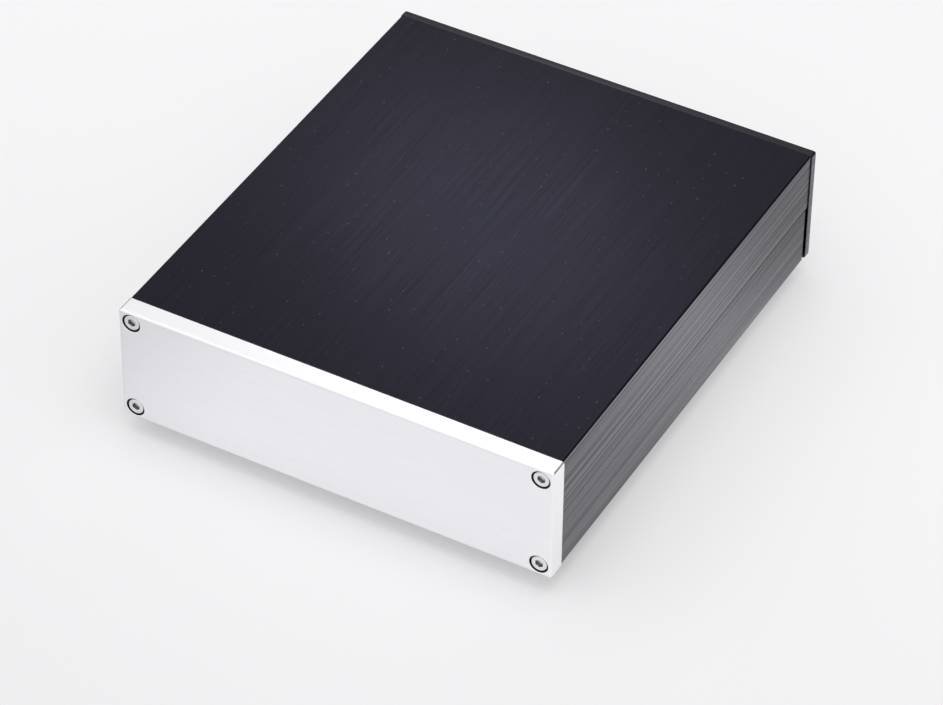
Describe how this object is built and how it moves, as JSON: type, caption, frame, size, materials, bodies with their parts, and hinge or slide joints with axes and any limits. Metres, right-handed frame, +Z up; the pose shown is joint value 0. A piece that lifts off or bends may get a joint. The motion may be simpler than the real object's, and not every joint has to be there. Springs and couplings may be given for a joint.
{
  "type": "aluminium electronics chassis",
  "caption": "Flat box-shaped aluminium electronics enclosure: interlocking black half shells between a thick silver front panel and a thin black rear panel, on rubber feet.",
  "frame": {"origin": "on the ground, under the middle of the chassis", "axes": "+Z up, the silver front panel faces -Y, +X to the right as seen from the front"},
  "size_m": [0.15, 0.1748, 0.049],
  "materials": {
    "shell_black": "black anodised, brushed along its length",
    "panel_silver": "clear anodised, finely brushed across its width",
    "panel_black": "black anodised, finely brushed across its width",
    "screw_steel": "bright nickel plate",
    "foot_rubber": "matte moulded rubber"
  },
  "bodies": {
    "root": {"top_shell": "shell_black", "bottom_shell": "shell_black", "front_panel": "panel_silver", "rear_panel": "panel_black", "front_screws": "screw_steel", "rear_screws": "screw_steel", "foot_front_left": "foot_rubber", "foot_front_right": "foot_rubber", "foot_rear_left": "foot_rubber", "foot_rear_right": "foot_rubber", "foot_screws": "screw_steel"}
  },
  "joints": []
}
